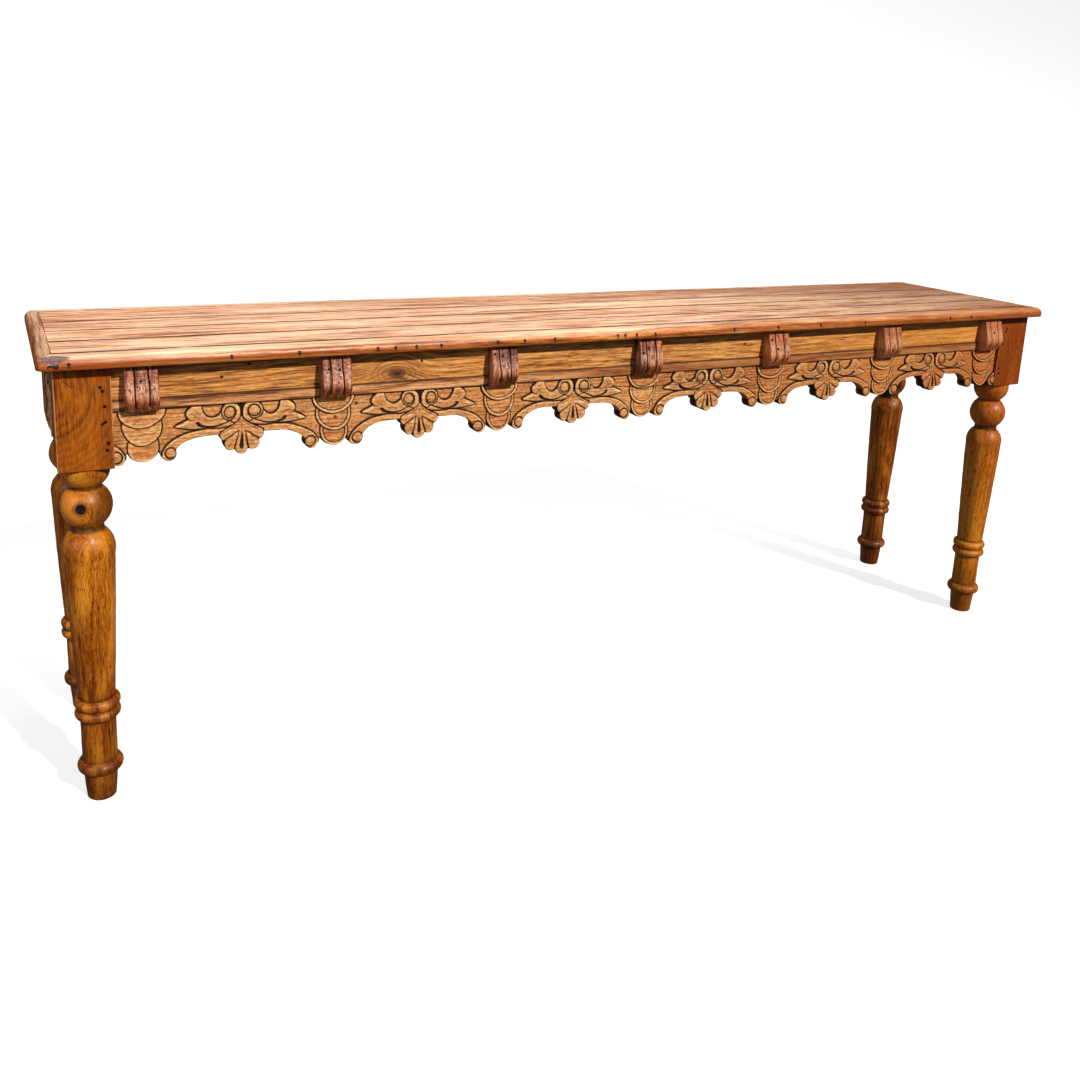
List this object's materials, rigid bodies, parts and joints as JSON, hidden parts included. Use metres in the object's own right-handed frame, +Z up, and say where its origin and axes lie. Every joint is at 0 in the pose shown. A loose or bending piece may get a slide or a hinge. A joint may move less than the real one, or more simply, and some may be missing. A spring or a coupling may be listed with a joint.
{
  "type": "communion table",
  "caption": "Long narrow wooden communion table with a boarded top, carved scalloped front apron with corbels, and turned legs.",
  "frame": {"origin": "centre of the table's footprint, on the floor", "axes": "+X along the length to the viewer's right, +Y from the carved front to the back, +Z up"},
  "size_m": [2.122, 0.446, 0.762],
  "materials": {
    "top_wood": "worn waxed hardwood, bleached and streaked",
    "edge_wood": "polished hardwood with a warm orange stain",
    "apron_wood": "waxed hardwood, golden brown",
    "carved_wood": "hand-carved hardwood with dark wax in the grooves",
    "corbel_wood": "reddish brown stained hardwood",
    "leg_wood": "turned hardwood, honey brown satin finish",
    "frame_wood": "plain planed hardwood, out of sight",
    "nail_steel": "dark aged steel",
    "screw_steel": "zinc-grey steel"
  },
  "bodies": {
    "root": {"top_board_1": "top_wood", "top_board_2": "top_wood", "top_board_3": "top_wood", "top_board_4": "top_wood", "top_edge_front": "edge_wood", "top_edge_back": "edge_wood", "top_edge_left": "edge_wood", "top_edge_right": "edge_wood", "leg_front_left": "leg_wood", "leg_front_right": "leg_wood", "leg_back_left": "leg_wood", "leg_back_right": "leg_wood", "front_rail": "apron_wood", "front_fillet": "apron_wood", "front_valance": "carved_wood", "side_rail_left": "apron_wood", "side_valance_left": "carved_wood", "side_rail_right": "apron_wood", "side_valance_right": "carved_wood", "back_rail": "apron_wood", "corbel_1": "corbel_wood", "corbel_2": "corbel_wood", "corbel_3": "corbel_wood", "corbel_4": "corbel_wood", "corbel_5": "corbel_wood", "corbel_6": "corbel_wood", "corbel_7": "corbel_wood", "cross_batten_1": "frame_wood", "cross_batten_2": "frame_wood", "cross_batten_3": "frame_wood", "leg_nails": "nail_steel", "corbel_nails": "nail_steel", "edge_nails": "nail_steel", "batten_screws": "screw_steel"}
  },
  "joints": []
}
